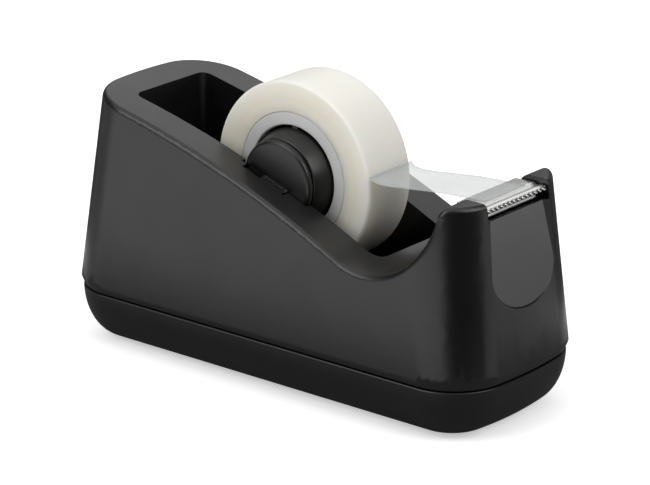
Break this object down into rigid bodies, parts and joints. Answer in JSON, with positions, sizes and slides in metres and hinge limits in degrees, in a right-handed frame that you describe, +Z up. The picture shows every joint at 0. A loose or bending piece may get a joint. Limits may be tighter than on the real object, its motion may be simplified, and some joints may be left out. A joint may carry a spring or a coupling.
{
  "type": "desk tape dispenser",
  "caption": "Weighted desk tape dispenser: hollow body with an open well, lift-out turning hub with a roll of tape, and a toothed steel blade between two ears.",
  "frame": {"origin": "middle of the footprint, on the surface that the dispenser stands on", "axes": "+X towards the blade, +Y to the far side, +Z up"},
  "size_m": [0.1528, 0.0602, 0.0877],
  "materials": {
    "housing_abs": "fine matte dark grey",
    "base_abs": "satin black",
    "pad_rubber": "foam rubber, black",
    "ballast_iron": "rough cast",
    "screw_steel": "zinc plated",
    "hub_abs": "satin black",
    "core_plastic": "light grey",
    "tape_film": "cream wound film with a soft sheen",
    "tape_free_film": "clear matte film",
    "blade_steel": "bright stainless",
    "support_steel": "bright stainless"
  },
  "bodies": {
    "dispenser": {"housing": "housing_abs", "base_tray": "base_abs", "nonslip_pad": "pad_rubber", "ballast_weight": "ballast_iron", "ballast_screws": "screw_steel", "housing_screws": "screw_steel", "tape_tail": "tape_free_film", "cutter_blade": "blade_steel", "blade_support": "support_steel"},
    "axle": {"axle_near": "hub_abs", "axle_far": "hub_abs"},
    "roll": {"hub_drum": "hub_abs", "tape_core": "core_plastic", "tape_roll": "tape_film"}
  },
  "joints": [
    {"name": "hub_lift", "type": "slide", "parent": "dispenser", "child": "axle", "axis": [0, 0, 1], "range_m": [0, 0.045]},
    {"name": "roll_spin", "type": "hinge", "parent": "axle", "child": "roll", "pos_m": [-0.00185, 0, 0.0598], "axis": [0, 1, 0], "continuous": true}
  ]
}
